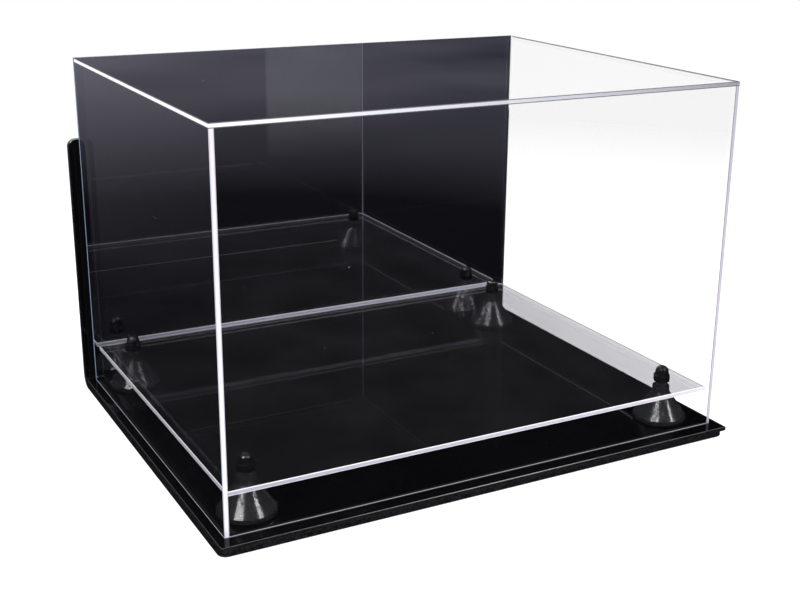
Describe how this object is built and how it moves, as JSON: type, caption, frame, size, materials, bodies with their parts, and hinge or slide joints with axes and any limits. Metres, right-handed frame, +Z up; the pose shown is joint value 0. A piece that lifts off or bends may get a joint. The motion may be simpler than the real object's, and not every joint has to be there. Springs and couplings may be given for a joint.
{
  "type": "wall mount display case",
  "caption": "Clear box cover with a mirror rear wall over a black base plate, a clear platform on cone risers with acorn cap nuts, and an L-shaped wall bracket under and behind it.",
  "frame": {"origin": "bottom centre of the whole assembly, on the underside of the bracket's leg", "axes": "+X to the right as seen from the front, +Y towards the wall, +Z up"},
  "size_m": [0.3938, 0.3154, 0.2619],
  "materials": {
    "clear_acrylic": "polished",
    "mirror_film": "polished",
    "black_acrylic": "polished",
    "black_riser_plastic": "gloss",
    "black_nut_plastic": "gloss",
    "black_nylon": "satin"
  },
  "bodies": {
    "bracket": {"wall_bracket": "black_acrylic"},
    "base": {"base_plate": "black_acrylic", "platform_plate": "clear_acrylic", "riser_front_left": "black_riser_plastic", "riser_front_right": "black_riser_plastic", "riser_back_left": "black_riser_plastic", "riser_back_right": "black_riser_plastic", "screw_front_left": "black_nylon", "screw_front_right": "black_nylon", "screw_back_left": "black_nylon", "screw_back_right": "black_nylon"},
    "cover": {"cover_front_panel": "clear_acrylic", "cover_left_panel": "clear_acrylic", "cover_right_panel": "clear_acrylic", "cover_top_panel": "clear_acrylic", "mirror_panel": "clear_acrylic", "mirror_backing": "mirror_film"},
    "cap_nut_front_left": {"cap_nut_front_left": "black_nut_plastic"},
    "cap_nut_front_right": {"cap_nut_front_right": "black_nut_plastic"},
    "cap_nut_back_left": {"cap_nut_back_left": "black_nut_plastic"},
    "cap_nut_back_right": {"cap_nut_back_right": "black_nut_plastic"}
  },
  "joints": [
    {"name": "case_lift", "type": "slide", "parent": "bracket", "child": "base", "axis": [0, 0, 1], "range_m": [0, 0.21]},
    {"name": "cover_lift", "type": "slide", "parent": "base", "child": "cover", "axis": [0, 0, 1], "range_m": [0, 0.26]},
    {"name": "nut_turn_front_left", "type": "hinge", "parent": "base", "child": "cap_nut_front_left", "pos_m": [-0.1651, -0.11877, 0.03651], "axis": [0, 0, 1], "continuous": true},
    {"name": "nut_turn_front_right", "type": "hinge", "parent": "base", "child": "cap_nut_front_right", "pos_m": [0.1651, -0.11877, 0.03651], "axis": [0, 0, 1], "continuous": true},
    {"name": "nut_turn_back_left", "type": "hinge", "parent": "base", "child": "cap_nut_back_left", "pos_m": [-0.1651, 0.12253, 0.03651], "axis": [0, 0, 1], "continuous": true},
    {"name": "nut_turn_back_right", "type": "hinge", "parent": "base", "child": "cap_nut_back_right", "pos_m": [0.1651, 0.12253, 0.03651], "axis": [0, 0, 1], "continuous": true}
  ]
}
